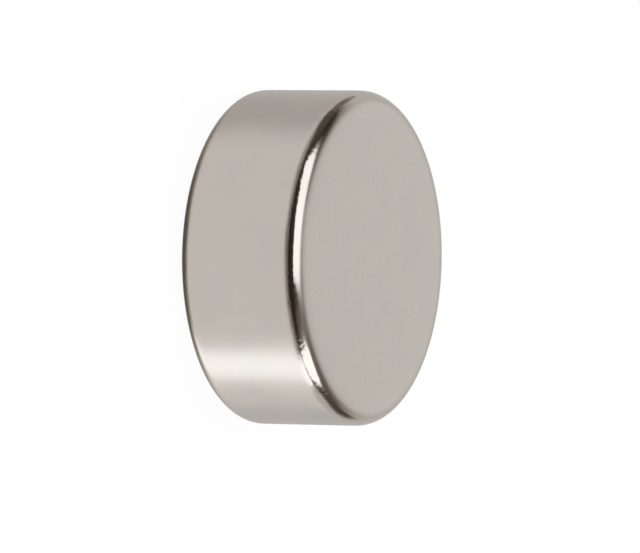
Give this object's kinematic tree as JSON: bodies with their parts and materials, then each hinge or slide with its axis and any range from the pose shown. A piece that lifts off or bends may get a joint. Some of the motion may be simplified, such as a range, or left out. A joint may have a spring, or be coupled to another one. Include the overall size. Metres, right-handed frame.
{
  "type": "disc magnet",
  "caption": "Small nickel-plated disc magnet with flat round pole faces, a plain cylindrical wall and softly rounded rims.",
  "frame": {"origin": "centre of the lower pole face, which the disc rests on", "axes": "+Z along the disc's axis, from the lower pole face to the upper; X and Y lie in the lower pole face and are alike"},
  "size_m": [0.01, 0.01, 0.004],
  "materials": {
    "nickel_plate": "bright nickel plate, satin on the pole faces and the ground wall, and brighter on the tumbled rims"
  },
  "bodies": {
    "root": {"magnet_disc": "nickel_plate"}
  },
  "joints": []
}
